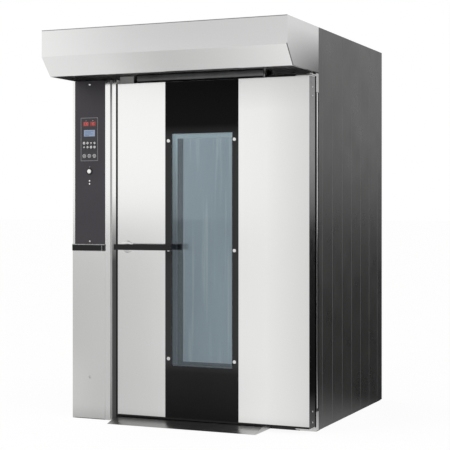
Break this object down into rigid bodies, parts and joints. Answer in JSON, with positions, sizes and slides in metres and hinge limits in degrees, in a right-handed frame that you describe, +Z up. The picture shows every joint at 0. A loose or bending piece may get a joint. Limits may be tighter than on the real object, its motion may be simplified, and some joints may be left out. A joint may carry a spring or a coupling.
{
  "type": "rotating rack oven",
  "caption": "Floor-standing rotating rack oven with a full-height hinged glass door, control column, extraction hood, loading ramp and a turntable for one bakery trolley.",
  "frame": {"origin": "on the floor, at the middle of the object's bounding box seen from above", "axes": "+Z up, +X to the right seen from the front, -Y out of the door towards the user"},
  "size_m": [1.52, 1.79, 2.3],
  "materials": {
    "stainless_sheet": "satin",
    "bright_steel": "polished",
    "chamber_steel": "satin",
    "galvanised_steel": "matte",
    "coated_side_steel": "satin",
    "control_fascia": "satin",
    "black_enamel_steel": "satin",
    "black_glass": "gloss",
    "clear_glass": "gloss",
    "handle_black": "satin",
    "seal_rubber": "matte",
    "mineral_wool": "matte",
    "motor_paint": "satin",
    "cast_aluminium": "matte",
    "key_foil": "satin",
    "display_lens": "gloss",
    "lamp_white": "gloss",
    "heater_tube_steel": "matte"
  },
  "bodies": {
    "cabinet": {"side_panel_left": "coated_side_steel", "side_panel_right": "coated_side_steel", "rear_cover": "galvanised_steel", "roof_panel": "galvanised_steel", "base_frame": "galvanised_steel", "chamber_floor": "chamber_steel", "front_frame": "black_enamel_steel", "strike_post": "stainless_sheet", "door_seal": "seal_rubber", "ramp": "stainless_sheet", "hood_shell": "stainless_sheet", "hood_baffle": "black_enamel_steel", "hood_fan_casing": "galvanised_steel", "door_switch_box": "galvanised_steel", "column_casing": "stainless_sheet", "control_panel": "control_fascia", "signal_lamps": "lamp_white", "keypad_foil": "key_foil", "display_board": "display_lens", "divider_strip": "stainless_sheet", "lower_panel": "stainless_sheet", "electrics_plate": "galvanised_steel", "hinge_bracket_top": "bright_steel", "hinge_bracket_bottom": "bright_steel", "liner_left": "chamber_steel", "liner_right": "chamber_steel", "liner_rear": "chamber_steel", "liner_top": "chamber_steel", "air_panel_left": "chamber_steel", "air_panel_right": "chamber_steel", "rear_air_wall": "chamber_steel", "air_ceiling": "chamber_steel", "fan_motor": "motor_paint", "rack_gearmotor": "cast_aluminium", "heater_bank": "heater_tube_steel", "steam_cascade": "chamber_steel", "flue_pipe": "chamber_steel", "insulation": "mineral_wool"},
    "door": {"door_casing": "black_enamel_steel", "door_inner_skin": "chamber_steel", "door_skin_left": "stainless_sheet", "door_skin_right": "stainless_sheet", "door_glass_outer": "black_glass", "glass_buttons_left": "bright_steel", "glass_buttons_right": "bright_steel", "door_glass_inner": "clear_glass", "door_insulation": "mineral_wool", "door_hinge_top": "bright_steel", "door_hinge_bottom": "bright_steel", "handle_escutcheon": "handle_black"},
    "handle": {"handle_lever": "handle_black", "handle_shaft": "bright_steel"},
    "bolt": {"latch_bolt": "bright_steel"},
    "turntable": {"turntable": "chamber_steel"},
    "hook": {"rack_hook": "bright_steel"},
    "fan": {"circulation_fan": "chamber_steel"},
    "hood_fan": {"hood_fan_wheel": "galvanised_steel"},
    "damper": {"damper_flap": "chamber_steel"},
    "button": {"push_button": "lamp_white"},
    "lock": {"panel_lock": "bright_steel"}
  },
  "joints": [
    {"name": "door_swing", "type": "hinge", "parent": "cabinet", "child": "door", "pos_m": [0.74, -0.466, 0], "axis": [0, 0, 1], "range_deg": [0, 120]},
    {"name": "handle_turn", "type": "hinge", "parent": "door", "child": "handle", "pos_m": [-0.385, -0.54, 1.04], "axis": [0, 1, 0], "range_deg": [0, 60], "stiffness_Nm_per_rad": 4, "springref_deg": -28.65},
    {"name": "bolt_slide", "type": "slide", "parent": "door", "child": "bolt", "axis": [1, 0, 0], "range_m": [0, 0.0217]},
    {"name": "turntable_turn", "type": "hinge", "parent": "cabinet", "child": "turntable", "pos_m": [0.01, 0.168, 0], "axis": [0, 0, 1], "continuous": true},
    {"name": "hook_turn", "type": "hinge", "parent": "cabinet", "child": "hook", "pos_m": [0.01, 0.168, 2], "axis": [0, 0, 1], "continuous": true},
    {"name": "fan_spin", "type": "hinge", "parent": "cabinet", "child": "fan", "pos_m": [0.01, 0.47, 2], "axis": [0, 0, 1], "continuous": true},
    {"name": "hood_fan_spin", "type": "hinge", "parent": "cabinet", "child": "hood_fan", "pos_m": [-0.33, -0.6575, 2.18], "axis": [0, 0, 1], "continuous": true},
    {"name": "damper_turn", "type": "hinge", "parent": "cabinet", "child": "damper", "pos_m": [0.42, 0.47, 2.188], "axis": [1, 0, 0], "range_deg": [0, 90]},
    {"name": "button_press", "type": "slide", "parent": "cabinet", "child": "button", "axis": [0, 1, 0], "range_m": [0, 0.003], "stiffness_N_per_m": 500},
    {"name": "lock_turn", "type": "hinge", "parent": "cabinet", "child": "lock", "pos_m": [-0.6435, -0.54, 0.252], "axis": [0, 1, 0], "range_deg": [0, 90]}
  ],
  "couplings": [
    {"joint": "bolt_slide", "follows": "handle_turn", "m_per_rad": 0.0206},
    {"joint": "hook_turn", "follows": "turntable_turn", "ratio": 1}
  ]
}
